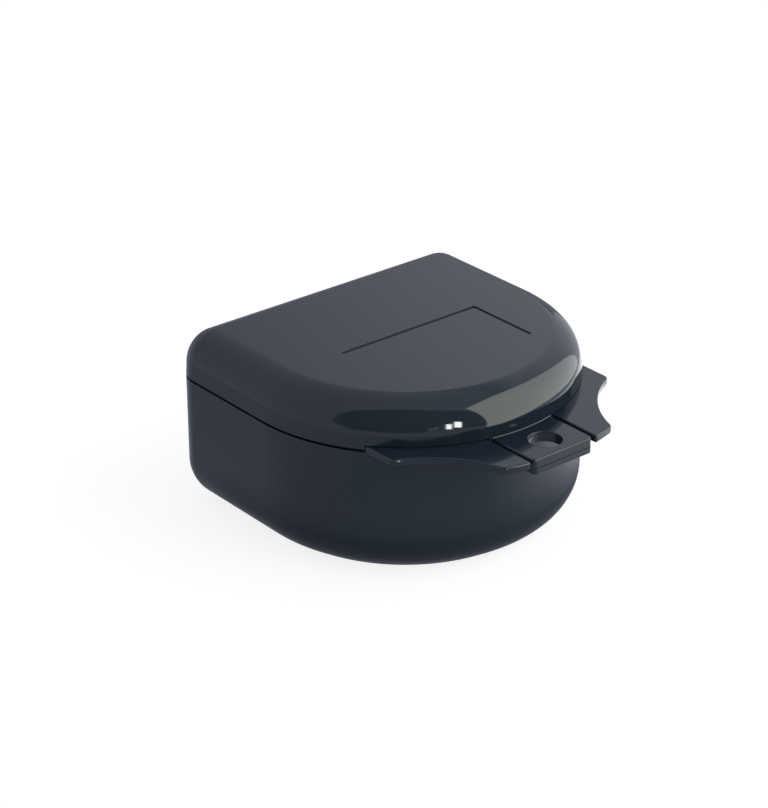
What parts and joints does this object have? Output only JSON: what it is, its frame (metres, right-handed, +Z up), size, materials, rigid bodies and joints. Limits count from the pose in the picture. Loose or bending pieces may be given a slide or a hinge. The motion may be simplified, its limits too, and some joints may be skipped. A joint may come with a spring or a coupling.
{
  "type": "dental appliance box",
  "caption": "D-shaped hinged dental appliance box with a pull tab, a lanyard hole and scooped finger wings at the front, for a retainer, mouthguard or denture.",
  "frame": {"origin": "on the surface that the box stands on, under the middle of the D-shaped body", "axes": "+Z up, -Y towards the pull tab at the bowed front, +Y towards the hinges, X along the hinge axis"},
  "size_m": [0.08, 0.0921, 0.0423],
  "materials": {
    "black_plastic": "glossy injection-moulded black plastic with a faint blue cast",
    "pin_steel": "drawn steel wire, satin"
  },
  "bodies": {
    "base": {"base_shell": "black_plastic", "left_hinge_pin": "pin_steel", "right_hinge_pin": "pin_steel"},
    "lid": {"lid_shell": "black_plastic"}
  },
  "joints": [
    {"name": "lid_swing", "type": "hinge", "parent": "base", "child": "lid", "pos_m": [0, 0.0396, 0.0313], "axis": [-1, 0, 0], "range_deg": [0, 115]}
  ]
}
